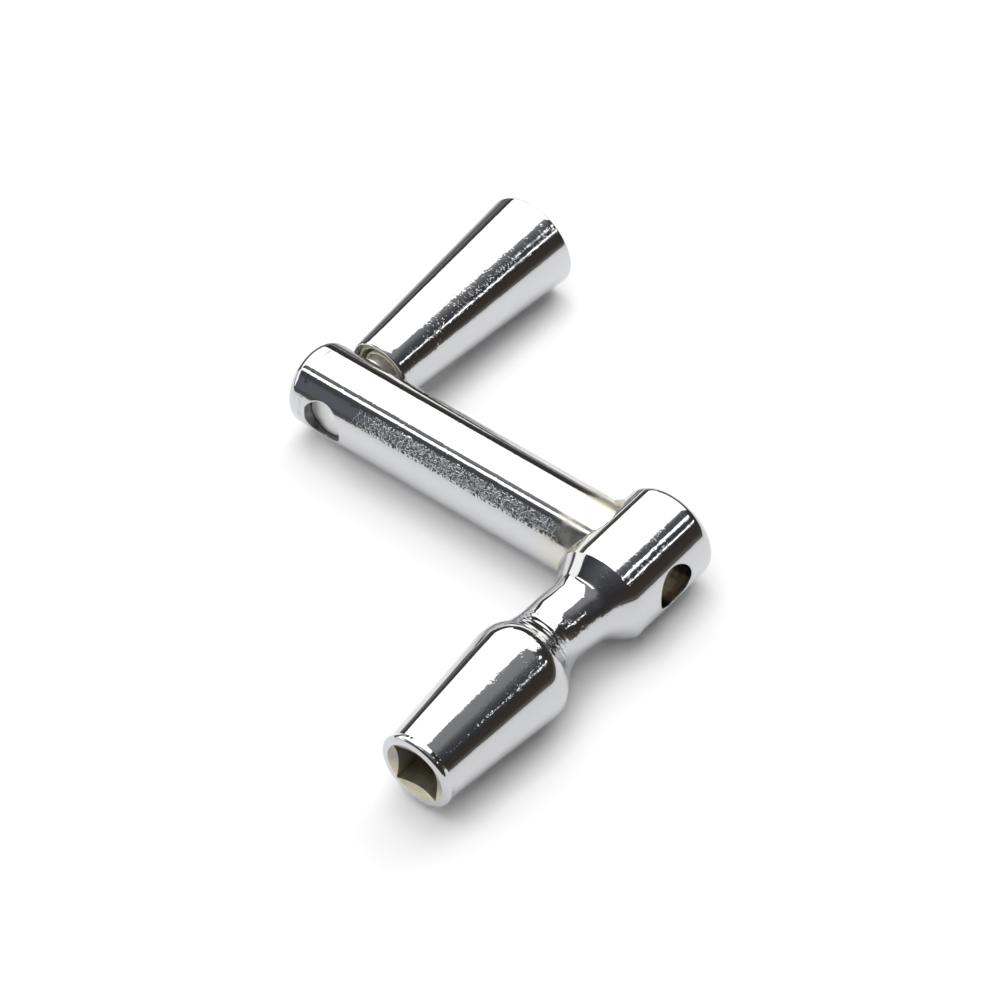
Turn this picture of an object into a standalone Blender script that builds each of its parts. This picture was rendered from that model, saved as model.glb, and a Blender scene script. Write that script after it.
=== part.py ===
"""Crank drum key: a square-drive key turned by a side arm with a free-spinning conical handle.

The key lies on its side. Its socket axis and the handle's axis run along Y, the arm joins them
along X, and all three axes lie at one height above the table. The origin is on the table under
the middle of the object.
"""

import math

import bmesh
import bpy
from mathutils import Matrix

SEGMENTS = 48
SEAM = 0.00006

# Key body, measured along its axis from the arm's axis (socket side negative).
SQUARE_DRIVE = 0.0061
SOCKET_DEPTH = 0.0140
MOUTH = -0.0421
MOUTH_RADIUS = 0.00535
MOUTH_ROUNDING = 0.0005
COUNTERSINK_RADIUS = 0.00427
COUNTERSINK_ANGLE = math.radians(65)
COLLAR_LENGTH = 0.0009
TAPER_START_RADIUS = 0.0052
SHOULDER = -0.02285
SHOULDER_RADIUS = 0.0069
SHOULDER_ROUNDING = 0.0048
WAIST = -0.0146
WAIST_RADIUS = 0.0044
WAIST_SOCKET_ARC = 0.0102
WAIST_OFFSET = 0.0009
HEAD_BEND = 0.0032
HEAD_FLARE = math.radians(2)
HEAD_SLOPE = math.radians(35)
HEAD_START = -0.0068
HEAD_END = 0.0079
HEAD_RADIUS = 0.00674
HEAD_ROUNDING = 0.0016

# Crank arm, measured along its axis from the key's axis.
ARM_REACH = 0.04715
ARM_OVERHANG = 0.00625
ARM_RADIUS = 0.0057
ARM_ROUNDING = 0.0015
CROSS_BORE_RADIUS = 0.00305
TENON_RADIUS = 0.00297
TENON_END = 0.0024
ARM_INNER_END = -0.0025
TENON_START = -0.0120
CUTTER_REACH = 0.0120
CUTTER_OVERRUN = 0.0020
BRAZE_THICKNESS = 0.00034
BRAZE_STAND_OUT = 0.00006

# Handle, measured along its axis from the arm's axis.
GRIP_START = 0.0060
GRIP_END = 0.0372
GRIP_START_RADIUS = 0.00471
GRIP_END_RADIUS = 0.0069
GRIP_LIP = 0.0003
GRIP_BORE = 0.0041
COUNTERBORE_START = 0.0306
COUNTERBORE_RADIUS = 0.0054
RUNNING_CLEARANCE = 0.00007
SHAFT_RADIUS = 0.00245
BUSH_BORE = SHAFT_RADIUS + RUNNING_CLEARANCE
BUSH_RADIUS = GRIP_BORE - SEAM
FRONT_BUSH_START = 0.00645
FRONT_BUSH_END = 0.0140
FRONT_BUSH_RECESS = 0.0020
FRONT_BUSH_RECESS_RADIUS = 0.0035
REAR_BUSH_START = 0.0245
REAR_FLANGE_THICKNESS = 0.0008
PIN_START = -0.0041
PIN_PRESS_END = 0.0052
PIN_END = 0.0339
PIN_CHAMFER = 0.0002
GROOVE_START = 0.0325
GROOVE_WIDTH = 0.0006
GROOVE_RADIUS = 0.0020
WASHER_RADIUS = 0.0046
WASHER_THICKNESS = 0.0006
CLIP_RADIUS = 0.0039
CLIP_MOUTH = 0.0028
CAP_THICKNESS = 0.0011

# Where the axes lie in the world.
REST_HEIGHT = SHOULDER_RADIUS
KEY_X = (ARM_REACH + GRIP_END_RADIUS - SHOULDER_RADIUS) / 2
GRIP_X = KEY_X - ARM_REACH
ARM_Y = -(MOUTH + GRIP_END) / 2

KEY_PLACE = (KEY_X, ARM_Y, REST_HEIGHT)
GRIP_PLACE = (GRIP_X, ARM_Y, REST_HEIGHT)


def clear_scene():
    for thing in list(bpy.data.objects):
        bpy.data.objects.remove(thing, do_unlink=True)


def finish(name, colour, metallic, roughness):
    """Make a Principled BSDF material."""
    material = bpy.data.materials.new(name)
    material.use_nodes = True
    shader = material.node_tree.nodes["Principled BSDF"]
    shader.inputs["Base Color"].default_value = (*colour, 1.0)
    shader.inputs["Metallic"].default_value = metallic
    shader.inputs["Roughness"].default_value = roughness
    material.diffuse_color = (*colour, 1.0)
    return material


def arc(centre, radius, start, end, steps):
    """Points (along, radial) of an arc; angles in degrees from the axis direction."""
    points = []
    for step in range(steps + 1):
        angle = math.radians(start + (end - start) * step / steps)
        points.append((centre[0] + radius * math.cos(angle), centre[1] + radius * math.sin(angle)))
    return points


def turned(name, outline, place, hollow=False, lengthwise="Y"):
    """Turn an outline of (along, radial) points about an axis through place."""
    shape = bmesh.new()
    corners = [shape.verts.new((radial, along, 0.0)) for along, radial in outline]
    edges = [shape.edges.new(pair) for pair in zip(corners, corners[1:])]
    if hollow:
        edges.append(shape.edges.new((corners[-1], corners[0])))
    bmesh.ops.spin(
        shape,
        geom=corners + edges,
        cent=(0, 0, 0),
        axis=(0, 1, 0),
        angle=math.tau,
        steps=SEGMENTS,
        use_merge=True,
    )
    bmesh.ops.remove_doubles(shape, verts=shape.verts, dist=1e-7)
    bmesh.ops.recalc_face_normals(shape, faces=shape.faces)
    if lengthwise == "X":
        shape.transform(Matrix.Rotation(math.radians(-90), 4, "Z"))
    return placed(name, shape, place)


def placed(name, shape, place):
    """Turn a bmesh into an object with its origin at place."""
    mesh = bpy.data.meshes.new(name)
    shape.to_mesh(mesh)
    shape.free()
    mesh.shade_smooth()
    mesh.set_sharp_from_angle(angle=math.radians(30))
    thing = bpy.data.objects.new(name, mesh)
    thing.location = place
    bpy.context.scene.collection.objects.link(thing)
    return thing


def rod(name, radius, start, end, place, lengthwise="Y"):
    outline = [(start, 0.0), (start, radius), (end, radius), (end, 0.0)]
    return turned(name, outline, place, lengthwise=lengthwise)


def block(name, low, high, place):
    shape = bmesh.new()
    bmesh.ops.create_cube(shape, size=1.0)
    for corner in shape.verts:
        for axis in range(3):
            corner.co[axis] = high[axis] if corner.co[axis] > 0 else low[axis]
    return placed(name, shape, place)


def combine(target, tool, operation="DIFFERENCE"):
    """Combine a guide shape into target, and keep the guide out of the model."""
    change = target.modifiers.new(tool.name, "BOOLEAN")
    change.operation = operation
    change.solver = "EXACT"
    change.object = tool
    tool.hide_render = True
    tool.display_type = "WIRE"


def give(thing, material):
    thing.data.materials.append(material)
    return thing


def key_outline():
    """Outer outline of the key body, from the socket's mouth to the head's end."""
    rounding_start = MOUTH + MOUTH_ROUNDING
    outline = [(MOUTH, 0.0)]
    outline += arc((rounding_start, MOUTH_RADIUS - MOUTH_ROUNDING), MOUTH_ROUNDING, 180, 90, 4)
    outline.append((MOUTH + COLLAR_LENGTH, TAPER_START_RADIUS))

    neck_rise = math.degrees(math.acos(1 - neck_depth() / (WAIST_SOCKET_ARC + SHOULDER_ROUNDING)))
    shoulder_centre = (SHOULDER, SHOULDER_RADIUS - SHOULDER_ROUNDING)
    outline += arc(shoulder_centre, SHOULDER_ROUNDING, 95, 90 - neck_rise, 6)
    waist_centre = (WAIST, WAIST_RADIUS + WAIST_SOCKET_ARC)
    outline += arc(waist_centre, WAIST_SOCKET_ARC, 270 - neck_rise, 270, 6)[1:]

    outline += head_cone()
    corner = (HEAD_END - HEAD_ROUNDING, HEAD_RADIUS - HEAD_ROUNDING)
    outline += arc(corner, HEAD_ROUNDING, 90, 0, 4)
    outline.append((HEAD_END, 0.0))
    return outline


def head_cone():
    """The slow flare, short bend and straight cone between the waist and the head."""
    bend_rise = HEAD_BEND * (math.cos(HEAD_FLARE) - math.cos(HEAD_SLOPE))
    bend_run = HEAD_BEND * (math.sin(HEAD_SLOPE) - math.sin(HEAD_FLARE))
    flare, slope = math.tan(HEAD_FLARE), math.tan(HEAD_SLOPE)
    run = HEAD_START - WAIST
    rise = HEAD_RADIUS - WAIST_RADIUS
    cone = (rise - bend_rise - flare * (run - bend_run)) / (slope - flare)
    bend_start = HEAD_START - cone - bend_run
    bend_radius = HEAD_RADIUS - cone * slope - bend_rise
    centre = (
        bend_start - HEAD_BEND * math.sin(HEAD_FLARE),
        bend_radius + HEAD_BEND * math.cos(HEAD_FLARE),
    )
    start = 270 + math.degrees(HEAD_FLARE)
    end = 270 + math.degrees(HEAD_SLOPE)
    return arc(centre, HEAD_BEND, start, end, 5) + [(HEAD_START, HEAD_RADIUS)]


def neck_depth():
    return SHOULDER_RADIUS - WAIST_RADIUS


def shift_waist(body):
    """Lean the waist towards the arm, as the casting does; the ends stay on the axis."""
    half_length = (HEAD_START - SHOULDER) / 2
    middle = (HEAD_START + SHOULDER) / 2
    for corner in body.data.vertices:
        away = abs(corner.co.y - middle) / half_length
        if away < 1:
            corner.co.x -= WAIST_OFFSET * math.cos(away * math.pi / 2) ** 2


def make_key_body(material):
    body = give(turned("key_body", key_outline(), KEY_PLACE), material)
    shift_waist(body)

    half = SQUARE_DRIVE / 2
    low = (-half, MOUTH - CUTTER_OVERRUN, -half)
    high = (half, MOUTH + SOCKET_DEPTH, half)
    combine(body, block("square_drive_cutter", low, high, KEY_PLACE))

    outside = MOUTH - CUTTER_OVERRUN
    slope = math.tan(COUNTERSINK_ANGLE)
    cone = [
        (outside, 0.0),
        (outside, COUNTERSINK_RADIUS + CUTTER_OVERRUN * slope),
        (MOUTH + COUNTERSINK_RADIUS / slope, 0.0),
    ]
    combine(body, turned("countersink_cutter", cone, KEY_PLACE))

    reach = CUTTER_REACH
    combine(body, rod("cross_bore_cutter", CROSS_BORE_RADIUS, -reach, reach, KEY_PLACE, "X"))
    return body


def arm_outline(inner_end):
    """Outline of the bar, from its free end to a point inside the head."""
    free_end = -(ARM_REACH + ARM_OVERHANG)
    corner = (free_end + ARM_ROUNDING, ARM_RADIUS - ARM_ROUNDING)
    outline = [(free_end, 0.0)]
    outline += arc(corner, ARM_ROUNDING, 180, 90, 6)
    outline += [(inner_end, ARM_RADIUS), (inner_end, 0.0)]
    return outline


def make_crank_arm(material):
    outline = arm_outline(ARM_INNER_END)
    arm = give(turned("crank_arm", outline, KEY_PLACE, lengthwise="X"), material)
    cope_radius = HEAD_RADIUS + BRAZE_THICKNESS + 2 * SEAM
    combine(arm, rod("arm_cope_cutter", cope_radius, -CUTTER_REACH, CUTTER_REACH, KEY_PLACE))
    tenon = rod("tenon_guide", TENON_RADIUS, TENON_START, TENON_END, KEY_PLACE, "X")
    combine(arm, tenon, "UNION")
    hole = rod("pin_hole_cutter", CROSS_BORE_RADIUS, -CUTTER_REACH, CUTTER_REACH, GRIP_PLACE)
    combine(arm, hole)
    return arm


def make_braze_seam(material):
    """The saddle of filler metal between the arm's coped end and the head."""
    radius = ARM_RADIUS + BRAZE_STAND_OUT
    start = -(HEAD_RADIUS + CUTTER_OVERRUN)
    seam = give(rod("braze_seam", radius, start, ARM_INNER_END, KEY_PLACE, "X"), material)
    inside = HEAD_RADIUS + SEAM
    combine(seam, rod("braze_inner_cutter", inside, -CUTTER_REACH, CUTTER_REACH, KEY_PLACE))
    outside = inside + BRAZE_THICKNESS
    guide = rod("braze_outer_guide", outside, -CUTTER_REACH, CUTTER_REACH, KEY_PLACE)
    combine(seam, guide, "INTERSECT")
    bore = TENON_RADIUS + SEAM
    combine(seam, rod("braze_bore_cutter", bore, TENON_START, 0.0, KEY_PLACE, "X"))
    return seam


def make_axle_pin(material):
    groove_end = GROOVE_START + GROOVE_WIDTH
    outline = [
        (PIN_START, 0.0),
        (PIN_START, TENON_RADIUS - PIN_CHAMFER),
        (PIN_START + PIN_CHAMFER, TENON_RADIUS),
        (PIN_PRESS_END, TENON_RADIUS),
        (PIN_PRESS_END, SHAFT_RADIUS),
        (GROOVE_START, SHAFT_RADIUS),
        (GROOVE_START, GROOVE_RADIUS),
        (groove_end, GROOVE_RADIUS),
        (groove_end, SHAFT_RADIUS),
        (PIN_END - PIN_CHAMFER, SHAFT_RADIUS),
        (PIN_END, SHAFT_RADIUS - PIN_CHAMFER),
        (PIN_END, 0.0),
    ]
    return give(turned("axle_pin", outline, GRIP_PLACE), material)


def ring(name, bore, radius, start, end, material):
    outline = [(start, bore), (start, radius), (end, radius), (end, bore)]
    return give(turned(name, outline, GRIP_PLACE, hollow=True), material)


def make_thrust_washer(material):
    end = GROOVE_START - SEAM
    start = end - WASHER_THICKNESS
    return ring("thrust_washer", SHAFT_RADIUS + SEAM, WASHER_RADIUS, start, end, material)


def make_retaining_clip(material):
    """An open ring that snaps into the pin's groove."""
    start = GROOVE_START + SEAM
    end = GROOVE_START + GROOVE_WIDTH - SEAM
    clip = ring("retaining_clip", GROOVE_RADIUS + SEAM, CLIP_RADIUS, start, end, material)
    half = CLIP_MOUTH / 2
    low = (-half, start - CUTTER_OVERRUN, 0.0)
    high = (half, end + CUTTER_OVERRUN, 2 * CLIP_RADIUS)
    combine(clip, block("clip_mouth_cutter", low, high, GRIP_PLACE))
    return clip


def grip_radius(along):
    share = (along - GRIP_START) / (GRIP_END - GRIP_START)
    return GRIP_START_RADIUS + (GRIP_END_RADIUS - GRIP_START_RADIUS) * share


def make_grip_sleeve(material):
    """The tapered tube that the fingers hold, bored for its two bushes."""
    front = GRIP_START + GRIP_LIP
    back = GRIP_END - GRIP_LIP
    outline = [(COUNTERBORE_START, GRIP_BORE), (front, GRIP_BORE)]
    outline += arc((front, grip_radius(front) - GRIP_LIP), GRIP_LIP, 180, 90, 3)
    outline += arc((back, grip_radius(GRIP_END) - GRIP_LIP), GRIP_LIP, 90, 0, 3)
    outline += [(GRIP_END, COUNTERBORE_RADIUS), (COUNTERBORE_START, COUNTERBORE_RADIUS)]
    return give(turned("grip_sleeve", outline, GRIP_PLACE, hollow=True), material)


def make_front_bush(material):
    step = FRONT_BUSH_START + FRONT_BUSH_RECESS
    outline = [
        (step, BUSH_BORE),
        (step, FRONT_BUSH_RECESS_RADIUS),
        (FRONT_BUSH_START, FRONT_BUSH_RECESS_RADIUS),
        (FRONT_BUSH_START, BUSH_RADIUS),
        (FRONT_BUSH_END, BUSH_RADIUS),
        (FRONT_BUSH_END, BUSH_BORE),
    ]
    return give(turned("front_bush", outline, GRIP_PLACE, hollow=True), material)


def make_rear_bush(material):
    flange_start = COUNTERBORE_START + SEAM
    flange_end = flange_start + REAR_FLANGE_THICKNESS
    outline = [
        (REAR_BUSH_START, BUSH_BORE),
        (REAR_BUSH_START, BUSH_RADIUS),
        (flange_start, BUSH_RADIUS),
        (flange_start, COUNTERBORE_RADIUS - SEAM),
        (flange_end, COUNTERBORE_RADIUS - SEAM),
        (flange_end, BUSH_BORE),
    ]
    return give(turned("rear_bush", outline, GRIP_PLACE, hollow=True), material)


def make_end_cap(material):
    """The disc that closes the handle's wide end."""
    outer = GRIP_END - SEAM
    radius = COUNTERBORE_RADIUS - SEAM
    outline = [(outer - CAP_THICKNESS, 0.0), (outer - CAP_THICKNESS, radius)]
    outline += arc((outer - GRIP_LIP, radius - GRIP_LIP), GRIP_LIP, 90, 0, 3)
    outline.append((outer, 0.0))
    return give(turned("end_cap", outline, GRIP_PLACE), material)


def main():
    clear_scene()
    chrome = finish("chrome", (0.78, 0.79, 0.80), 1.0, 0.08)
    steel = finish("bright_steel", (0.62, 0.62, 0.61), 1.0, 0.35)
    braze = finish("braze_filler", (0.58, 0.50, 0.33), 1.0, 0.40)
    bushing = finish("cream_bushing", (0.74, 0.71, 0.60), 0.0, 0.45)

    make_key_body(chrome)
    make_crank_arm(chrome)
    make_braze_seam(braze)
    make_axle_pin(steel)
    make_thrust_washer(steel)
    make_retaining_clip(steel)
    grip = bpy.data.objects.new("grip_axis", None)
    grip.location = GRIP_PLACE
    bpy.context.scene.collection.objects.link(grip)
    moving = [
        make_grip_sleeve(chrome),
        make_front_bush(bushing),
        make_rear_bush(bushing),
        make_end_cap(chrome),
    ]
    for piece in moving:
        piece.parent = grip
        piece.location = (0, 0, 0)


main()
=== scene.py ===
"""Looks of the crank drum key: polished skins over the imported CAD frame, chrome and light."""
import math

import bmesh
import bpy
from mathutils import Euler, Matrix, Vector, noise


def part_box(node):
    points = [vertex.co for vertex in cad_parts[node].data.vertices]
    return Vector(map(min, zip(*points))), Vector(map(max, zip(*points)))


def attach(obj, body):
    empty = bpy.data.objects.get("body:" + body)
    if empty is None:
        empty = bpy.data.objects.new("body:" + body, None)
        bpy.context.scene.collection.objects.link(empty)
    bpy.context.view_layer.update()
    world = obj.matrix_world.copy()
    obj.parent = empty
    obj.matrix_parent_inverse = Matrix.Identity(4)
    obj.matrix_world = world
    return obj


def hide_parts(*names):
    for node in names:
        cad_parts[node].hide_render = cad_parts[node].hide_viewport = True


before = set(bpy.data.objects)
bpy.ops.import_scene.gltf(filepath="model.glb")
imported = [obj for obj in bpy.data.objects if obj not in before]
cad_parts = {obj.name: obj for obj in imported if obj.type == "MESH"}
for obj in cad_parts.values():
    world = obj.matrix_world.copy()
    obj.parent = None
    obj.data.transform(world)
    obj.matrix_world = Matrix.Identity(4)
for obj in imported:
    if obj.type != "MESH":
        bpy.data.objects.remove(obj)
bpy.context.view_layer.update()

MM = 0.001

# Faces around every ring, and how far from an edge the ring lies that keeps it crisp.
COLUMNS = 256
SUPPORT = 0.03

# Material slots of a skin: plated outside, lining of a socket or blind hole, and the head's bore.
OUTSIDE, LINING, BORE = 0, 1, 2

# Sizes in millimetres, as in the CAD. Places along the key and the handle are measured from the
# arm's axis, and places along the arm from the key's axis.
KEY_TO_GRIP = 47.15
HEAD_RADIUS = 6.74
SHOULDER_RADIUS = 6.9
WAIST_RADIUS = 4.4
HEAD_START, HEAD_END, HEAD_ROUNDING = -6.8, 7.9, 1.6
SHOULDER, WAIST = -22.85, -14.6
MOUTH, MOUTH_RADIUS, MOUTH_ROUNDING = -42.1, 5.35, 0.5
TAPER_START, TAPER_RADIUS = MOUTH + 1.1, 5.2
SQUARE_HALF, SOCKET_DEPTH = 3.05, 14.0
COUNTERSINK_RADIUS, COUNTERSINK_SLOPE = 4.27, math.tan(math.radians(65))
ARM_RADIUS, ARM_END, ARM_ROUNDING = 5.7, -53.4, 1.5
ARM_INNER_END, TENON_END = -3.2, 2.4
GROOVE = -50.2
BORE_RADIUS = 3.05
PIN_RADIUS, SHAFT_RADIUS = 2.97, 2.45
GRIP_START, GRIP_END = 6.0, 37.2
GRIP_START_RADIUS, GRIP_END_RADIUS = 4.71, 6.9
GRIP_BORE = 4.1
COUNTERBORE_START, COUNTERBORE_RADIUS = 30.6, 5.4


def middle(node, axis):
    """The middle of a CAD node's box along an axis, in metres."""
    low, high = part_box(node)
    return (low[axis] + high[axis]) / 2


GRIP_X = middle("end_cap", 0)
KEY_X = GRIP_X + KEY_TO_GRIP * MM
ARM_Y = middle("crank_arm", 1)
HEIGHT = middle("grip_sleeve", 2)
KEY = Vector((KEY_X, ARM_Y, HEIGHT))
GRIP = Vector((GRIP_X, ARM_Y, HEIGHT))


# Outlines: lists of (along, radius) in millimetres.

def arc(centre, radius, start, end, steps):
    """Points on a circle, from start to end degrees."""
    points = []
    for step in range(steps + 1):
        angle = math.radians(start + (end - start) * step / steps)
        points.append((centre[0] + radius * math.cos(angle), centre[1] + radius * math.sin(angle)))
    return points


def straight(start, end, pieces=1):
    """Points between start and end, with a support point close to each end."""
    run = math.dist(start, end)
    near = min(SUPPORT / run, 0.2)
    shares = [near] + [step / pieces for step in range(1, pieces)] + [1 - near]
    return [(start[0] + (end[0] - start[0]) * s, start[1] + (end[1] - start[1]) * s) for s in shares]


def ease(value, low, high):
    """0 at low, 1 at high, smooth between."""
    share = min(max((value - low) / (high - low), 0.0), 1.0)
    return share * share * (3 - 2 * share)


class Skin:
    """A closed surface of rings about an axis. Along and across are unit vectors."""

    def __init__(self, centre, along, across):
        self.centre = centre
        self.along = Vector(along)
        self.across = Vector(across)
        self.third = self.along.cross(self.across)
        self.points = []
        self.faces = []
        self.slots = []

    def at(self, a, b, h):
        """The point a along the axis, h in the across direction and b in the third."""
        return self.centre + (self.along * a + self.across * h + self.third * b) * MM

    def add(self, point):
        self.points.append(point)
        return len(self.points) - 1

    def ring(self, along, radius, relief=None, shift=0.0):
        """One ring of points; along and radius are numbers or functions of the angle."""
        indices = []
        for column in range(COLUMNS):
            angle = math.tau * column / COLUMNS
            reach = radius(angle) if callable(radius) else radius
            place = along(angle) if callable(along) else along
            if relief:
                reach += relief(place, angle)
            b, h = reach * math.sin(angle), reach * math.cos(angle)
            indices.append(self.add(self.at(place, b, h) + Vector((shift * MM, 0, 0))))
        return indices

    def bridge(self, first, second, slot=OUTSIDE, skip=()):
        """Faces between two rings, except in the columns to skip."""
        for column in range(len(first)):
            if column in skip:
                continue
            after = (column + 1) % len(first)
            self.faces.append((first[column], second[column], second[after], first[after]))
            self.slots.append(slot)

    def cap(self, ring, slot=OUTSIDE, flip=False):
        """Close a ring with a fan about its middle."""
        centre = self.add(sum((self.points[i] for i in ring), Vector()) / len(ring))
        for column in range(len(ring)):
            pair = (ring[column], ring[(column + 1) % len(ring)])
            self.faces.append((centre, *pair) if flip else (centre, pair[1], pair[0]))
            self.slots.append(slot)

    def build(self, name, materials, sharp=28):
        """The skin as an object; edges over sharp degrees stay crisp."""
        used = sorted({i for face in self.faces for i in face})
        fresh = {old: new for new, old in enumerate(used)}
        mesh = bpy.data.meshes.new(name)
        points = [self.points[i] for i in used]
        faces = [tuple(fresh[i] for i in face) for face in self.faces]
        mesh.from_pydata(points, [], faces)
        for material in materials:
            mesh.materials.append(material)
        mesh.polygons.foreach_set("material_index", self.slots)
        turn_outwards(mesh)
        mesh.shade_smooth()
        mesh.set_sharp_from_angle(angle=math.radians(sharp))
        thing = bpy.data.objects.new(name, mesh)
        bpy.context.scene.collection.objects.link(thing)
        return thing


def turn_outwards(mesh):
    """Give a closed mesh faces that all point out."""
    shape = bmesh.new()
    shape.from_mesh(mesh)
    bmesh.ops.recalc_face_normals(shape, faces=shape.faces)
    shape.to_mesh(mesh)
    shape.free()


def punch_hole(skin, rings, radius, hole, lip, depth, slot):
    """Open a round hole across a plain cylinder, on its across side, with a rounded lip.

    rings is a list of (along, indices) that cover the hole. Returns the columns that it replaces.
    """
    margin = math.radians(9)
    lip_steps, wall_steps = 6, 5
    reach = math.asin((hole + lip) / radius) + margin
    side = math.ceil(reach / (math.tau / COLUMNS))
    centre = (rings[0][0] + rings[-1][0]) / 2
    columns = [column % COLUMNS for column in range(-side, side + 1)]

    loop = [(rings[0][0], rings[0][1], c) for c in columns]
    loop += [(along, ring, columns[-1]) for along, ring in rings[1:]]
    loop += [(rings[-1][0], rings[-1][1], c) for c in reversed(columns[:-1])]
    loop += [(along, ring, columns[0]) for along, ring in reversed(rings[1:-1])]

    edge = []
    for along, ring, column in loop:
        angle = math.tau * column / COLUMNS
        edge.append((along - centre, radius * math.sin(angle), ring[column]))
    turns = [math.atan2(b, a) for a, b, _ in edge]

    def surface(b):
        """Height of the cylinder's surface at b beside its top line."""
        return math.sqrt(radius**2 - b**2)

    loops = []
    for share in (0.12, 0.26, 0.42, 0.58, 0.72, 0.84, 0.93, 0.98, 1.0):
        loops.append([])
        for (a, b, _), turn in zip(edge, turns):
            goal = ((hole + lip) * math.cos(turn), (hole + lip) * math.sin(turn))
            a, b = a + (goal[0] - a) * share, b + (goal[1] - b) * share
            loops[-1].append(skin.add(skin.at(centre + a, b, surface(b))))
    for step in range(1, lip_steps + 1):
        t = step / lip_steps
        loops.append([])
        for turn in turns:
            outer = surface((hole + lip) * math.sin(turn))
            inner = surface(hole * math.sin(turn))
            reach_out = hole + lip * (1 - t) ** 2
            h = (1 - t) ** 2 * outer + 2 * t * (1 - t) * inner + t * t * (inner - lip)
            place = (centre + reach_out * math.cos(turn), reach_out * math.sin(turn), h)
            loops[-1].append(skin.add(skin.at(*place)))
    slots = [OUTSIDE] * len(loops) + [slot] * wall_steps
    for step in range(1, wall_steps + 1):
        loops.append([])
        for turn in turns:
            top = surface(hole * math.sin(turn)) - lip
            h = top + (depth - top) * step / wall_steps
            place = (centre + hole * math.cos(turn), hole * math.sin(turn), h)
            loops[-1].append(skin.add(skin.at(*place)))

    previous = [index for _, _, index in edge]
    for indices, face_slot in zip(loops, slots):
        for k in range(len(indices)):
            after = (k + 1) % len(indices)
            skin.faces.append((previous[k], previous[after], indices[after], indices[k]))
            skin.slots.append(face_slot)
        previous = indices
    skin.cap(previous, slot, flip=True)
    return set(c % COLUMNS for c in range(-side, side))


# Materials.

class Finish:
    """A node material, built up socket by socket."""

    def __init__(self, name, colour, metallic, roughness):
        self.material = bpy.data.materials.new(name)
        self.material.use_nodes = True
        self.material.diffuse_color = (*colour, 1)
        self.tree = self.material.node_tree
        self.shader = self.tree.nodes["Principled BSDF"]
        self.shader.inputs["Base Color"].default_value = (*colour, 1)
        self.shader.inputs["Metallic"].default_value = metallic
        self.shader.inputs["Roughness"].default_value = roughness
        self.place = self.node("ShaderNodeTexCoord").outputs["Object"]
        self.bumps = None

    def node(self, kind, **settings):
        made = self.tree.nodes.new(kind)
        for key, value in settings.items():
            setattr(made, key, value)
        return made

    def link(self, source, target):
        self.tree.links.new(source, target)

    def stretched(self, factors):
        """The place on the object, scaled along each axis."""
        mapping = self.node("ShaderNodeMapping")
        mapping.inputs["Scale"].default_value = factors
        self.link(self.place, mapping.inputs["Vector"])
        return mapping.outputs["Vector"]

    def noise(self, size, detail=3.0, roughness=0.5, stretch=(1, 1, 1)):
        """Noise whose features measure about size millimetres."""
        made = self.node("ShaderNodeTexNoise")
        made.inputs["Scale"].default_value = 1 / (size * MM)
        made.inputs["Detail"].default_value = detail
        made.inputs["Roughness"].default_value = roughness
        self.link(self.stretched(stretch), made.inputs["Vector"])
        return made.outputs["Fac"]

    def ramp(self, value, low, high, start=0.0, end=1.0):
        """From start at low to end at high, smooth between."""
        made = self.node("ShaderNodeMapRange", interpolation_type="SMOOTHSTEP")
        made.inputs["From Min"].default_value = low
        made.inputs["From Max"].default_value = high
        made.inputs["To Min"].default_value = start
        made.inputs["To Max"].default_value = end
        self.link(value, made.inputs["Value"])
        return made.outputs["Result"]

    def maths(self, operation, first, second):
        made = self.node("ShaderNodeMath", operation=operation)
        self.link(first, made.inputs[0])
        self.link(second, made.inputs[1])
        return made.outputs[0]

    def times(self, first, second):
        return self.maths("MULTIPLY", first, second)

    def bump(self, height, microns):
        """Raise the surface by up to microns micrometres, on top of earlier bumps."""
        made = self.node("ShaderNodeBump")
        made.inputs["Strength"].default_value = 1.0
        made.inputs["Distance"].default_value = microns * 1e-6
        self.link(height, made.inputs["Height"])
        if self.bumps:
            self.link(self.bumps, made.inputs["Normal"])
        self.bumps = made.outputs["Normal"]
        self.link(self.bumps, self.shader.inputs["Normal"])

    def colour_between(self, factor, first, second):
        """The first colour where factor is 0, the second where it is 1."""
        made = self.node("ShaderNodeMix", data_type="RGBA")
        made.inputs[6].default_value = (*first, 1)
        made.inputs[7].default_value = (*second, 1)
        self.link(factor, made.inputs[0])
        self.link(made.outputs[2], self.shader.inputs["Base Color"])

    def roughness_from(self, factor, low, high, start=0.3, end=0.7):
        """Roughness from low to high as factor goes from start to end."""
        self.link(self.ramp(factor, start, end, low, high), self.shader.inputs["Roughness"])

    def coordinate(self, axis):
        split = self.node("ShaderNodeSeparateXYZ")
        self.link(self.place, split.inputs[0])
        return split.outputs[axis]

    def window(self, axis, origin, start, rise, fall, end):
        """One between rise and fall, nothing before start or after end: millimetres from origin."""
        start, rise, fall, end = (origin + along * MM for along in (start, rise, fall, end))
        place = self.coordinate(axis)
        return self.times(self.ramp(place, start, rise), self.ramp(place, fall, end, 1.0, 0.0))


CHROME = (0.60, 0.605, 0.61)
STRAW = (0.64, 0.61, 0.50)


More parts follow.
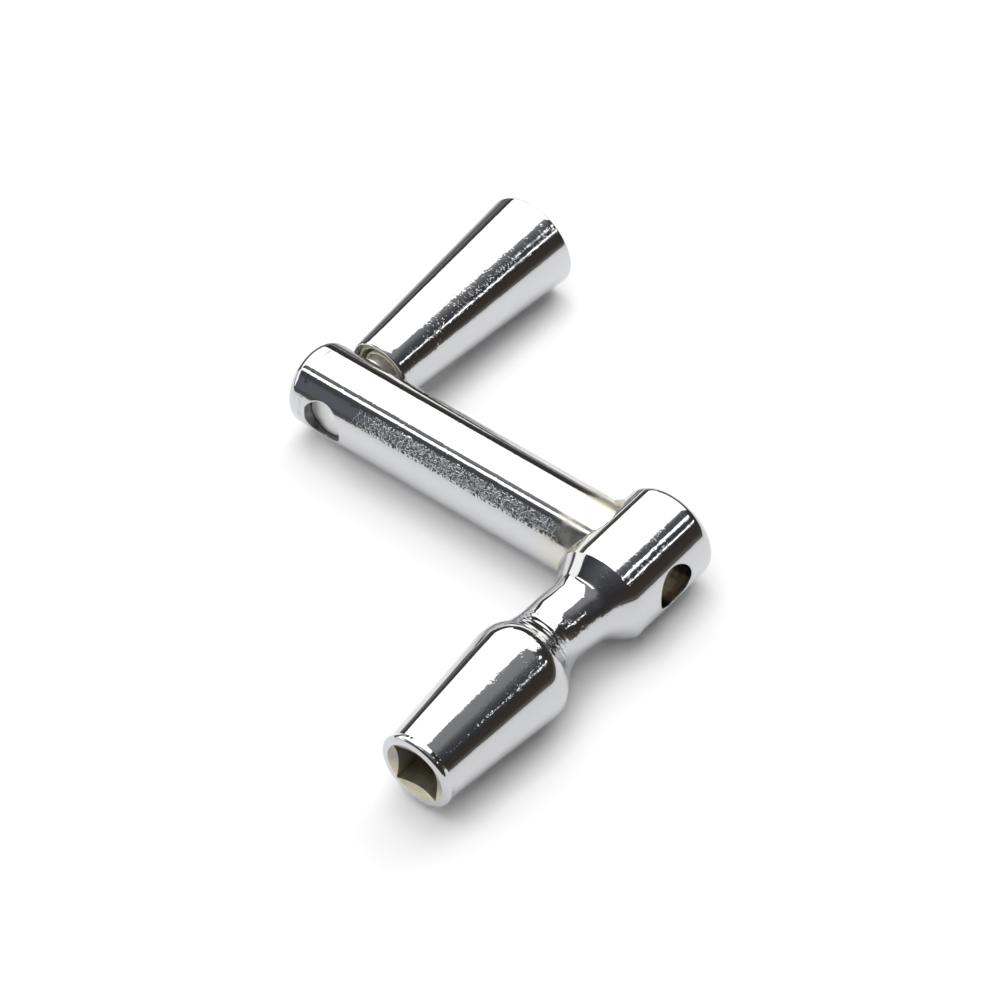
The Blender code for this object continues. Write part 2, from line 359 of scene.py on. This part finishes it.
def chrome(name, grain, specks, rough=None, lumps=0.0, lumpy=None, scratches=0.0):
    """Bright chrome plate over a casting.

    Grain, specks, lumps and scratches are heights in micrometres. All but the scratches keep to the
    window that rough gives along X, and the lumps also to the one that lumpy gives along Y.
    """
    wave = 2.0
    finish = Finish(name, CHROME, 1.0, 0.06)
    finish.roughness_from(finish.noise(1.5), 0.045, 0.09)
    finish.bump(finish.noise(2.4, detail=2.0), wave)
    patches = finish.ramp(finish.noise(2.8, detail=2.0), 0.4, 0.62, 0.25, 1.0)
    if rough:
        patches = finish.times(patches, finish.window("X", *rough))
    finish.bump(finish.times(finish.noise(0.8, detail=3.0, roughness=0.6), patches), grain)
    specked = finish.ramp(finish.noise(0.34, detail=1.0), 0.52, 0.78)
    finish.bump(finish.times(specked, patches), specks)
    if lumpy:
        window = finish.times(finish.window("Y", ARM_Y, *lumpy), patches)
        blobs = finish.ramp(finish.noise(0.5, detail=1.5), 0.45, 0.7)
        finish.bump(finish.times(blobs, window), lumps)
    if scratches:
        finish.bump(finish.noise(0.12, detail=5.0, stretch=(1, 0.12, 1)), scratches)
    return finish


def arm_chrome():
    """Chrome with an etched, satin band on the flanks, straw-coloured where brazing heated it."""
    finish = chrome("arm_chrome", grain=3.5, specks=3.0)
    flank = finish.window("Z", HEIGHT, 2.5, 3.2, 4.2, 4.6)
    length = finish.window("X", KEY_X, -44.0, -37.0, -11.0, -7.5)
    etched = finish.times(flank, length)
    marks = finish.ramp(finish.noise(0.42, detail=2.0), 0.46, 0.54)
    etch_depth = 34.0
    finish.bump(finish.times(marks, etched), etch_depth)
    heat = finish.ramp(finish.coordinate("X"), KEY_X - 12.0 * MM, KEY_X - 6.6 * MM)
    patchy = finish.times(heat, finish.ramp(finish.noise(2.6, detail=1.0), 0.2, 0.7, 0.2, 1.0))
    finish.colour_between(patchy, CHROME, STRAW)
    satin = finish.times(etched, finish.ramp(finish.noise(0.9, detail=3.0), 0.4, 0.6, 0.3, 0.72))
    finish.roughness_from(finish.maths("MAXIMUM", satin, patchy), 0.05, 0.34, 0.0, 1.0)
    return finish.material


def metal(name, dark, light, low, high, size, microns):
    """Unplated metal, mottled between two colours, with roughness from low to high."""
    finish = Finish(name, light, 1.0, (low + high) / 2)
    pattern = finish.noise(size, detail=5.0)
    finish.colour_between(finish.ramp(pattern, 0.35, 0.65), dark, light)
    finish.roughness_from(pattern, low, high)
    finish.bump(finish.noise(size / 4, detail=4.0), microns)
    return finish.material


def socket_metal():
    """Thin plate in the socket: grey-brown above, and paler, brassy yellow low down, painted light
    where light falls on the lower walls.
    """
    finish = Finish("socket_bronze", (0.6, 0.55, 0.45), 1.0, 0.32)
    # Painted light: the lower walls, where light falls into the socket, are painted paler and
    # yellower, a little mottled.
    height = finish.ramp(finish.coordinate("Z"), HEIGHT - 2.6 * MM, HEIGHT + 0.2 * MM, 1.0, 0.0)
    painted_light_low_down = finish.times(height, finish.ramp(finish.noise(1.4, detail=3.0), 0.3, 0.6, 0.65, 1.0))
    finish.colour_between(painted_light_low_down, (0.42, 0.39, 0.355), (0.74, 0.70, 0.54))
    finish.roughness_from(finish.noise(1.0), 0.42, 0.58)
    return finish.material


def braze_metal():
    """Filler metal: thin along the top, where it is painted dark as shade in the crease against the
    head, and pale where it has run into lumps at the sides.
    """
    finish = Finish("braze_filler", (0.6, 0.57, 0.46), 1.0, 0.35)
    pattern = finish.noise(0.7, detail=4.0)
    # Painted shade: the top and bottom of the bead are painted dark, as shade in the crease against
    # the head.
    thin = finish.window("Y", ARM_Y, -4.6, -3.0, 2.2, 3.4)
    pale = finish.maths("SUBTRACT", finish.ramp(pattern, 0.3, 0.65, 0.6, 1.0), thin)
    finish.colour_between(pale, (0.24, 0.23, 0.20), (0.70, 0.67, 0.55))
    finish.roughness_from(pattern, 0.28, 0.42)
    finish.bump(finish.noise(0.3, detail=3.0), 10.0)
    return finish.material


def cream_plastic():
    """Moulded bearing plastic, a little mottled."""
    finish = Finish("cream_plastic", (0.74, 0.70, 0.58), 0.0, 0.4)
    pattern = finish.noise(0.7, detail=4.0)
    finish.colour_between(finish.ramp(pattern, 0.35, 0.65), (0.66, 0.61, 0.48), (0.78, 0.75, 0.64))
    finish.roughness_from(pattern, 0.3, 0.5)
    finish.bump(finish.noise(0.2, detail=4.0), 4.0)
    return finish.material


# The uneven polish on a turned piece: a window along X, in millimetres from the piece's axis.
UNEVEN = (0.4, 1.6, 4.3, 5.1)
KEY_CHROME = chrome("key_chrome", grain=8.0, specks=7.0, rough=(KEY_X, *UNEVEN),
                    lumps=13.0, lumpy=(-38, -28, -8, -6.5)).material
ARM_CHROME = arm_chrome()
GRIP_CHROME = chrome("grip_chrome", grain=12.0, specks=13.0, rough=(GRIP_X, *UNEVEN),
                     scratches=2.0).material
STEEL = metal("bright_steel", (0.74, 0.74, 0.73), (0.82, 0.82, 0.81), 0.42, 0.5, size=1.0, microns=2)
BRONZE = socket_metal()
COPPER = metal("bore_copper", (0.36, 0.37, 0.32), (0.60, 0.52, 0.42), 0.12, 0.26, size=1.6, microns=9)
BARE = metal("bare_bore", (0.22, 0.22, 0.22), (0.30, 0.30, 0.30), 0.35, 0.45, size=1.0, microns=3)
BRAZE = braze_metal()
CREAM = cream_plastic()


# Pieces.

def waist_shift(along):
    """How far the waist leans towards the arm: most halfway, nothing at the head and shoulder."""
    lean = 0.9
    half = (HEAD_START - SHOULDER) / 2
    away = abs(along - (HEAD_START + SHOULDER) / 2) / half
    return -lean * math.cos(away * math.pi / 2) ** 2 if away < 1 else 0.0


def key_outline():
    """Outer outline from the mouth's flat ring to the head's start."""
    rim = arc((MOUTH + MOUTH_ROUNDING, MOUTH_RADIUS - MOUTH_ROUNDING), MOUTH_ROUNDING, 180, 75, 12)
    taper_start = (TAPER_START, TAPER_RADIUS)
    points = rim + straight(rim[-1], taper_start)

    depth = SHOULDER_RADIUS - WAIST_RADIUS
    waist_arc, shoulder_arc, taper_slope = 10.2, 4.8, 5.1
    rise = math.degrees(math.acos(1 - depth / (waist_arc + shoulder_arc)))
    centre = (SHOULDER, SHOULDER_RADIUS - shoulder_arc)
    shoulder = arc(centre, shoulder_arc, 90 + taper_slope, 90 - rise, 28)
    points += [taper_start] + straight(taper_start, shoulder[0], 24) + shoulder
    points += arc((WAIST, WAIST_RADIUS + waist_arc), waist_arc, 270 - rise, 270, 24)[1:]
    return points + head_cone()


def head_cone():
    """From the waist's thinnest place: a slow flare, a short bend and a straight cone."""
    bend, slope, flare = 3.2, 35.0, 2.0
    steep, slow = math.radians(slope), math.radians(flare)
    rise, lift = math.tan(steep), math.tan(slow)
    top = bend * math.cos(slow) - bend * math.cos(steep)
    wide = bend * (math.sin(steep) - math.sin(slow))
    run = HEAD_START - WAIST
    climb = HEAD_RADIUS - WAIST_RADIUS
    cone = (climb - top - lift * (run - wide)) / (rise - lift)
    bend_start = (HEAD_START - cone - wide, HEAD_RADIUS - cone * rise - top)
    centre = (bend_start[0] - bend * math.sin(slow), bend_start[1] + bend * math.cos(slow))
    points = straight((WAIST, WAIST_RADIUS), bend_start, 8)[1:]
    points += arc(centre, bend, 270 + flare, 270 + slope, 16)
    points += straight(points[-1], (HEAD_START, HEAD_RADIUS), 8)
    return points + [(HEAD_START, HEAD_RADIUS)]


def turning_marks(along):
    """Shallow tool rings on the socket side of the waist."""
    depth, pitch = 0.022, 0.9
    window = ease(along, -20.4, -19.2) * (1 - ease(along, -16.8, -15.8))
    return depth * window * math.sin(along * math.tau / pitch)


def key_relief(along, angle):
    """Tool rings, and the casting's unevenness, which is strongest on the waist."""
    place = Vector((along, 7 * math.cos(angle), 7 * math.sin(angle)))
    rough = ease(along, -24.0, -20.0) * (1 - ease(along, -7.2, -6.9))
    return turning_marks(along) + (0.006 + 0.03 * rough) * noise.noise(place * 0.45)


def square(angle):
    """How far the square socket reaches from its axis."""
    return SQUARE_HALF / max(abs(math.cos(angle)), abs(math.sin(angle)))


def countersink(radius):
    """Where along the key the mouth's countersink has this radius."""
    return MOUTH + (COUNTERSINK_RADIUS - radius) / COUNTERSINK_SLOPE


def socket_rings(skin):
    """From the square socket's floor up its walls and out over the countersink."""
    floor = MOUTH + SOCKET_DEPTH
    wall_steps, cone_steps = 8, 4
    rings = []
    for step in range(wall_steps + 1):
        share = 1 - step / wall_steps

        def depth(angle, share=share):
            rim = countersink(square(angle))
            return rim + (floor - rim) * share

        rings.append(skin.ring(depth, square))
    for step in range(1, cone_steps + 1):
        share = step / cone_steps

        def on_cone(angle, share=share):
            return square(angle) + (COUNTERSINK_RADIUS - square(angle)) * share

        rings.append(skin.ring(lambda angle, reach=on_cone: countersink(reach(angle)), on_cone))
    return rings


def patch_rings(skin, centre, half, radius):
    """Plain rings that a round hole will cut, as (along, ring)."""
    rows = 36
    places = [centre - half + 2 * half * row / rows for row in range(rows + 1)]
    return [(along, skin.ring(along, radius)) for along in places]


def make_key_body():
    """Tapered socket, rounded shoulder, waist and round head, with the head's open cross-bore."""
    skin = Skin(KEY, (0, 1, 0), (1, 0, 0))
    rings = [(ring, LINING) for ring in socket_rings(skin)]
    flat = (MOUTH, COUNTERSINK_RADIUS), (MOUTH, MOUTH_RADIUS - MOUTH_ROUNDING)
    for along, radius in straight(*flat):
        rings.append((skin.ring(along, radius), OUTSIDE))
    for along, radius in key_outline():
        rings.append((skin.ring(along, radius, key_relief, waist_shift(along)), OUTSIDE))

    patch, lip, bore_depth = 4.6, 0.28, -4.5
    for along in (HEAD_START + SUPPORT, (HEAD_START - patch) / 2):
        rings.append((skin.ring(along, HEAD_RADIUS), OUTSIDE))
    covered = patch_rings(skin, 0.0, patch, HEAD_RADIUS)
    rings += [(ring, OUTSIDE) for _, ring in covered]
    skip = punch_hole(skin, covered, HEAD_RADIUS, BORE_RADIUS, lip, bore_depth, BORE)

    head_flat, end_radius = HEAD_END - HEAD_ROUNDING, HEAD_RADIUS - HEAD_ROUNDING
    end = [(head_flat - SUPPORT, HEAD_RADIUS)] + arc((head_flat, end_radius), HEAD_ROUNDING, 90, 0, 16)
    for along, radius in end + straight((HEAD_END, end_radius), (HEAD_END, 0.4)):
        rings.append((skin.ring(along, radius), OUTSIDE))

    inside = {id(ring) for _, ring in covered[:-1]}
    skin.cap(rings[0][0], LINING)
    for (first, _), (second, slot) in zip(rings, rings[1:]):
        skin.bridge(first, second, slot, skip if id(first) in inside else ())
    skin.cap(rings[-1][0], OUTSIDE, flip=True)
    body = skin.build("key_body_skin", [KEY_CHROME, BRONZE, COPPER])
    return finish_piece(body, "key", "chrome", "key_body")


def finish_piece(piece, body, slot, *nodes):
    """Let a piece ride a body and stand for its CAD nodes; the slot is not used."""
    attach(piece, body)
    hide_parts(*nodes)
    return piece


def arm_relief(along, angle):
    """Dents of the casting on the bar's flanks, and a faint turned groove near its free end."""
    up = math.degrees(math.atan2(-math.sin(angle), math.cos(angle)))
    band = ease(abs(up), 31, 37) * (1 - ease(abs(up), 50, 55))
    length = ease(along, -45.5, -42.5) * (1 - ease(along, -13.0, -9.0))
    place = Vector((along, ARM_RADIUS * math.cos(angle), ARM_RADIUS * math.sin(angle)))
    ridge = ease(abs(noise.noise(place * 0.75)), 0.16, 0.02)
    fine = noise.fractal(place * 1.6, 1.0, 2.0, 3)
    groove = ease(abs(along - GROOVE), 0.22, 0.0)
    dents = band * length * (0.022 * ridge + 0.022 * fine)
    return dents + 0.004 * noise.noise(place * 0.5) + 0.006 * groove


def make_crank_arm():
    """The round bar: a rounded free end, the pin's hole and the tenon inside the head."""
    skin = Skin(KEY, (1, 0, 0), (0, -1, 0))
    flat_radius = ARM_RADIUS - ARM_ROUNDING
    end = straight((ARM_END, 0.4), (ARM_END, flat_radius))
    end += arc((ARM_END + ARM_ROUNDING, flat_radius), ARM_ROUNDING, 180, 90, 16)
    rings = [skin.ring(along, radius) for along, radius in end]
    for away in (-1.3, -0.7, -0.3, -0.15, 0.0, 0.15, 0.3):
        rings.append(skin.ring(GROOVE + away, ARM_RADIUS, arm_relief))

    hole = (GRIP_X - KEY_X) / MM
    patch, lip, hole_depth = 3.9, 0.22, 3.6
    covered = patch_rings(skin, hole, patch, ARM_RADIUS)
    rings += [ring for _, ring in covered]
    skip = punch_hole(skin, covered, ARM_RADIUS, BORE_RADIUS, lip, hole_depth, LINING)

    rows = 210
    start = hole + patch
    for row in range(1, rows + 1):
        along = start + (ARM_INNER_END - start) * row / rows
        rings.append(skin.ring(along, ARM_RADIUS, arm_relief))
    tenon = [(ARM_INNER_END + 0.4, PIN_RADIUS), (TENON_END - SUPPORT, PIN_RADIUS),
             (TENON_END, PIN_RADIUS - SUPPORT)]
    rings += [skin.ring(along, radius) for along, radius in tenon]

    inside = {id(ring) for _, ring in covered[:-1]}
    skin.cap(rings[0])
    for first, second in zip(rings, rings[1:]):
        skin.bridge(first, second, OUTSIDE, skip if id(first) in inside else ())
    skin.cap(rings[-1], flip=True)
    arm = skin.build("crank_arm_skin", [ARM_CHROME, BARE])
    return finish_piece(arm, "key", "chrome", "crank_arm")


def turned(name, centre, outline, materials, hollow=False, relief=None, sharp=28):
    """A turned piece about an axis along Y; a hollow one's outline is a closed loop."""
    skin = Skin(centre, (0, 1, 0), (1, 0, 0))
    rings = [skin.ring(along, radius, relief) for along, radius in outline]
    if not hollow:
        skin.cap(rings[0])
    for first, second in zip(rings, rings[1:]):
        skin.bridge(first, second)
    if hollow:
        skin.bridge(rings[-1], rings[0])
    else:
        skin.cap(rings[-1], flip=True)
    return skin.build(name, materials, sharp)


def rounded(corners, radius, steps=5):
    """An outline through corners, each rounded with a small curve; the ends stay sharp."""
    points = [corners[0]]
    for before, corner, after in zip(corners, corners[1:], corners[2:]):
        reach = min(radius, math.dist(before, corner) / 2.5, math.dist(corner, after) / 2.5)
        corner = Vector(corner)
        back = (Vector(before) - corner).normalized()
        ahead = (Vector(after) - corner).normalized()
        enter, leave = corner + back * reach, corner + ahead * reach
        points.append(tuple(enter + back * SUPPORT))
        for step in range(steps + 1):
            t = step / steps
            point = enter * (1 - t) ** 2 + corner * 2 * t * (1 - t) + leave * t * t
            points.append(tuple(point))
        points.append(tuple(leave + ahead * SUPPORT))
    points.append(corners[-1])
    return points


def grip_radius(along):
    """The handle's straight taper."""
    share = (along - GRIP_START) / (GRIP_END - GRIP_START)
    return GRIP_START_RADIUS + (GRIP_END_RADIUS - GRIP_START_RADIUS) * share


def grip_relief(along, angle):
    """Slight unevenness of the handle's taper, away from its ends."""
    if not GRIP_START + 0.6 < along < GRIP_END - 0.5:
        return 0.0
    place = Vector((along, 6 * math.cos(angle), 6 * math.sin(angle)))
    return 0.006 * noise.noise(place * 0.5)


def make_grip_sleeve():
    """The hollow tapered handle, with a rounded mouth at the arm and a counterbore at the end."""
    lip, rounding, chamfer = 0.6, 0.3, 0.12
    front, back = GRIP_START + lip, GRIP_END - rounding
    inner = [(COUNTERBORE_START, COUNTERBORE_RADIUS), (COUNTERBORE_START, GRIP_BORE)]
    half_wall = (grip_radius(GRIP_START) - GRIP_BORE) / 2
    mouth = []
    for along, radius in arc((0.0, 0.0), 1.0, 270, 94, 16):
        mouth.append((front + along * lip, GRIP_BORE + half_wall + radius * half_wall))
    rows = 60
    places = [front + (back - front) * row / rows for row in range(1, rows)]
    outside = [(along, grip_radius(along)) for along in places]
    end = arc((back, grip_radius(GRIP_END) - rounding), rounding, 90, 0, 8)
    close = [(GRIP_END, COUNTERBORE_RADIUS + chamfer), (GRIP_END - chamfer, COUNTERBORE_RADIUS)]
    outline = inner + mouth + outside + end + close
    sleeve = turned("grip_sleeve_skin", GRIP, outline, [GRIP_CHROME], hollow=True, relief=grip_relief)
    return finish_piece(sleeve, "grip", "chrome", "grip_sleeve")


def make_front_bush():
    """The stepped plastic ring in the handle's mouth, with a ring-shaped recess in its face."""
    bore, outer, end = 2.52, 4.07, 14.0
    hub_face, hub_radius = 6.55, 2.85
    recess_floor, recess_radius = 8.6, 3.5
    rim_face, rim_radius, step = 6.45, 3.8, 6.7
    corners = [(end, bore), (hub_face, bore), (hub_face, hub_radius), (recess_floor, hub_radius),
               (recess_floor, recess_radius), (rim_face, recess_radius), (rim_face, rim_radius),
               (step, rim_radius), (step, outer), (end, outer)]
    bush = turned("front_bush_skin", GRIP, rounded(corners, 0.1), [CREAM], hollow=True)
    return finish_piece(bush, "grip", "bushing", "front_bush")


def make_end_cap():
    """The disc in the handle's wide end, with a shallow hollow ring around its raised middle."""
    inner_face = GRIP_END - 1.16
    face = GRIP_END - 0.08
    radius, ring_radius, centre = 5.34, 4.7, 0.3
    corners = [(inner_face, centre), (inner_face, radius), (face, radius), (face, ring_radius)]
    dome = [(face - 0.14, 4.4), (face - 0.18, 4.1), (face - 0.12, 3.0), (face - 0.03, 1.6),
            (face, centre)]
    end_cap = turned("end_cap_skin", GRIP, rounded(corners, 0.25) + dome, [GRIP_CHROME], sharp=50)
    return finish_piece(end_cap, "grip", "chrome", "end_cap")


def make_axle_pin():
    """The shouldered pin: head in the arm, shaft through the handle, and a groove for the clip."""
    start, shoulder, end, centre = -4.1, 5.2, 33.9, 0.3
    groove_start, groove_end, groove_radius = 32.5, 33.1, 2.0
    corners = [(start, centre), (start, PIN_RADIUS), (shoulder, PIN_RADIUS), (shoulder, SHAFT_RADIUS),
               (groove_start, SHAFT_RADIUS), (groove_start, groove_radius),
               (groove_end, groove_radius), (groove_end, SHAFT_RADIUS),
               (end, SHAFT_RADIUS), (end, centre)]
    pin = turned("axle_pin_skin", GRIP, rounded(corners, 0.16), [STEEL])
    return finish_piece(pin, "key", "steel", "axle_pin")


def on_head(z):
    """Where along the arm the head's surface lies at height z, measured from the key's axis."""
    return -math.sqrt(max(HEAD_RADIUS**2 - z * z, 0.0))


def braze_ring(angle, across):
    """The bead's section where the arm's flank points at angle, in millimetres."""
    inset = 0.05
    side_lump, top_lump = Vector((-0.86, -0.5)), Vector((0.80, 0.60))
    flank = Vector((math.cos(angle), math.sin(angle)))
    rough = noise.fractal(Vector((4 * flank.x, 4 * flank.y, 0.5)), 0.8, 2.0, 3)
    swell = 1.2 * ease(flank.dot(side_lump), 0.6, 1.0)
    swell += 0.8 * ease(flank.dot(top_lump), 0.82, 1.0)
    width = 0.2 + swell + (0.05 + 0.25 * swell) * rough

    seam = on_head(ARM_RADIUS * flank.y)
    root = Vector((seam + inset, *(flank * (ARM_RADIUS - inset))))
    start = Vector((seam - width, *(flank * (ARM_RADIUS - inset))))
    far = min(ARM_RADIUS + min(width, 0.9) * 0.8, HEAD_RADIUS - 0.08)
    end = Vector((on_head(far * flank.y) + inset, *(flank * far)))
    bulge = Vector((seam - 0.25 * width, *(flank * (ARM_RADIUS + 0.05 + 0.12 * swell))))
    ring = []
    for step in range(across + 1):
        t = step / across
        place = start * (1 - t) ** 2 + bulge * 2 * t * (1 - t) + end * t * t
        grit = noise.noise(place * 2.6) * 0.09 * math.sin(math.pi * t)
        ring.append(place + Vector((-0.6 * grit, *(flank * grit))))
    under = Vector((inset, 0, 0))
    return ring + [end.lerp(root, 0.5) + under, root + under]


def make_braze():
    """A concave, uneven bead of filler along the saddle where the arm meets the head."""
    around, across = 256, 10
    size = across + 3
    points, faces = [], []
    for column in range(around):
        points += [KEY + point * MM for point in braze_ring(math.tau * column / around, across)]
    for column in range(around):
        after = (column + 1) % around
        for step in range(size):
            following = (step + 1) % size
            faces.append((column * size + step, after * size + step,
                          after * size + following, column * size + following))
    mesh = bpy.data.meshes.new("braze_bead")
    mesh.from_pydata(points, [], faces)
    turn_outwards(mesh)
    mesh.materials.append(BRAZE)
    mesh.shade_smooth()
    mesh.set_sharp_from_angle(angle=math.radians(50))
    bead = bpy.data.objects.new("braze_bead", mesh)
    bpy.context.scene.collection.objects.link(bead)
    return finish_piece(bead, "key", "braze", "braze_seam")


def dress_hidden_nodes():
    """The pieces inside the handle keep their CAD shapes."""
    for name, material in (("rear_bush", CREAM), ("thrust_washer", STEEL), ("retaining_clip", STEEL)):
        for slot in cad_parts[name].material_slots:
            slot.material = material


# Stage, light and camera.

def make_floor():
    """A wide, matt, nearly white floor."""
    bpy.ops.mesh.primitive_plane_add(size=6.0)
    floor = bpy.context.object
    floor.name = "floor"
    finish = Finish("pale_floor", (0.88, 0.88, 0.885), 0.0, 0.6)
    finish.shader.inputs["Specular IOR Level"].default_value = 0.2
    finish.colour_between(finish.noise(40), (0.875, 0.875, 0.88), (0.885, 0.885, 0.89))
    floor.data.materials.append(finish.material)


def make_panel(name, centre, size, facing, radiance):
    """A soft rectangular lamp, out of the camera's sight; size is its width and length in metres."""
    lamp = bpy.data.lights.new(name, "AREA")
    lamp.shape = "RECTANGLE"
    lamp.size, lamp.size_y = size
    lamp.energy = radiance * math.pi * size[0] * size[1]
    thing = bpy.data.objects.new(name, lamp)
    thing.location = centre
    thing.rotation_euler = facing
    thing.visible_camera = False
    bpy.context.scene.collection.objects.link(thing)
    return thing


def make_light():
    """Softboxes above and to the left, strips for the thin highlights, and two diffuse fills."""
    top = HEIGHT + 0.5
    down = Euler((0, 0, 0))
    slanted = Euler((0, 0, math.radians(-37)))
    from_left = Euler((0, math.radians(-90), 0))
    from_front = Euler((math.radians(45), 0, math.radians(10)))
    ceiling = make_panel("top_softbox", (-0.585, 0.52, top), (0.83, 1.26), down, 2.0)
    ceiling.visible_diffuse = False
    make_panel("right_softbox", (0.02, 0.75, top), (0.38, 0.78), down, 2.0)
    make_panel("slanted_softbox", (-0.159, 0.252, top + 0.001), (0.45, 0.62), slanted, 1.8)
    make_panel("left_softbox", (-1.0, 0.52, 0.39), (0.22, 1.26), from_left, 2.0)
    make_panel("left_front_panel", (-0.8, -0.45, 0.3), (0.4, 0.7), from_left, 1.4)
    front = make_panel("front_fill", (0.15, -0.9, 0.92), (1.2, 1.2), from_front, 1.1)
    overhead = make_panel("overhead_fill", (0.1, -0.1, 1.3), (1.0, 1.0), down, 2.5)
    for fill in (front, overhead):
        fill.visible_glossy = False
    # A glowing card seen only in reflections: a painted reflection of the floor on the left.
    make_reflection_glow_card()
    make_panel("front_strip", (-0.35, -0.242, top), (0.8, 0.07), down, 2.4)
    make_panel("right_strip", (0.66, 0.50, top), (0.06, 0.52), down, 3.2)
    make_panel("second_strip", (0.384, 0.395, top), (0.06, 0.12), down, 3.2)
    make_room()


def make_reflection_glow_card():
    """A glowing card on the floor left of the object, seen only in reflections, brightest at its edge:
    a painted reflection of the floor there.
    """
    width, depth, fade = 0.664, 0.4, 0.044
    bpy.ops.mesh.primitive_plane_add(size=1.0)
    card = bpy.context.object
    card.name = "reflection_glow_card"
    card.scale = (width, depth, 1)
    card.location = (-0.363, 0.205, 0.00005)
    finish = Finish("painted_reflection_glow", (0.5, 0.5, 0.5), 0.0, 0.6)
    # Painted reflection: the card glows, fading away from its edge by the object, in place of the
    # floor as the chrome reflects it.
    glow = finish.node("ShaderNodeEmission")
    strength = finish.ramp(finish.coordinate("X"), 0.5, 0.5 - fade / width, 0.85, 0.17)
    finish.link(strength, glow.inputs["Strength"])
    output = finish.tree.nodes["Material Output"]
    finish.link(glow.outputs[0], output.inputs["Surface"])
    card.data.materials.append(finish.material)
    card.visible_camera = False
    card.visible_diffuse = False
    card.visible_shadow = False
    card.visible_transmission = False


# The room's colour by the upward part of a direction, from level to straight up.
SKY = (
    (0.0, (0.16, 0.155, 0.15)),
    (0.08, (0.12, 0.11, 0.10)),
    (0.15, (0.055, 0.048, 0.042)),
    (0.42, (0.046, 0.04, 0.036)),
    (0.58, (0.055, 0.056, 0.062)),
    (0.72, (0.08, 0.084, 0.092)),
    (0.78, (0.125, 0.128, 0.137)),
    (0.82, (0.19, 0.193, 0.20)),
    (0.86, (0.29, 0.29, 0.295)),
    (1.0, (0.34, 0.34, 0.34)),
)

# A paler patch of the room, in front on the left and a little up. Its soft edge is in cosines.
PATCH_DIRECTION = (-0.46, -0.78, 0.42)
PATCH_COLOUR = (0.14, 0.15, 0.17)
PATCH_EDGE = (0.93, 0.985)


def make_room():
    """The dark room behind the lamps: brown low down, blue-grey above, with a paler patch in front."""
    world = bpy.data.worlds.new("studio")
    bpy.context.scene.world = world
    world.use_nodes = True
    tree = world.node_tree
    direction = tree.nodes.new("ShaderNodeTexCoord").outputs["Generated"]
    split = tree.nodes.new("ShaderNodeSeparateXYZ")
    ramp = tree.nodes.new("ShaderNodeValToRGB")
    facing = tree.nodes.new("ShaderNodeVectorMath")
    facing.operation = "DOT_PRODUCT"
    facing.inputs[1].default_value = PATCH_DIRECTION
    patch = tree.nodes.new("ShaderNodeMapRange")
    patch.interpolation_type = "SMOOTHSTEP"
    patch.inputs["From Min"].default_value, patch.inputs["From Max"].default_value = PATCH_EDGE
    mix = tree.nodes.new("ShaderNodeMix")
    mix.data_type = "RGBA"
    mix.inputs[7].default_value = (*PATCH_COLOUR, 1)
    stops = ramp.color_ramp.elements
    while len(stops) < len(SKY):
        stops.new(0.5)
    for stop, (position, colour) in zip(stops, SKY):
        stop.position = position
        stop.color = (*colour, 1)
    background = tree.nodes["Background"]
    tree.links.new(direction, split.inputs[0])
    tree.links.new(split.outputs["Z"], ramp.inputs["Fac"])
    tree.links.new(direction, facing.inputs[0])
    tree.links.new(facing.outputs["Value"], patch.inputs["Value"])
    tree.links.new(patch.outputs["Result"], mix.inputs[0])
    tree.links.new(ramp.outputs["Color"], mix.inputs[6])
    tree.links.new(mix.outputs[2], background.inputs["Color"])


def make_camera():
    """A long lens, looking down at the object from the front right, turned slightly."""
    azimuth, elevation, roll = math.radians(42.672), math.radians(47.108), math.radians(-4.007)
    distance = 0.51428
    target = KEY + Vector((-20.219, -1.857, 0)) * MM
    back = Vector((math.sin(azimuth) * math.cos(elevation), -math.cos(azimuth) * math.cos(elevation),
                   math.sin(elevation)))
    level = Vector((math.cos(azimuth), math.sin(azimuth), 0))
    upright = back.cross(level)
    across = level * math.cos(roll) + upright * math.sin(roll)
    up = upright * math.cos(roll) - level * math.sin(roll)
    data = bpy.data.cameras.new("camera")
    data.lens = 146.67
    data.sensor_width = 36
    data.clip_start, data.clip_end = 0.01, 20
    camera = bpy.data.objects.new("camera", data)
    turn = Matrix((across, up, back)).transposed()
    camera.matrix_world = Matrix.Translation(target + back * distance) @ turn.to_4x4()
    bpy.context.scene.collection.objects.link(camera)
    bpy.context.scene.camera = camera


make_camera()
make_key_body()
make_crank_arm()
make_grip_sleeve()
make_front_bush()
make_end_cap()
make_axle_pin()
make_braze()
dress_hidden_nodes()
make_floor()
make_light()

view = bpy.context.scene.view_settings
view.view_transform = "Standard"
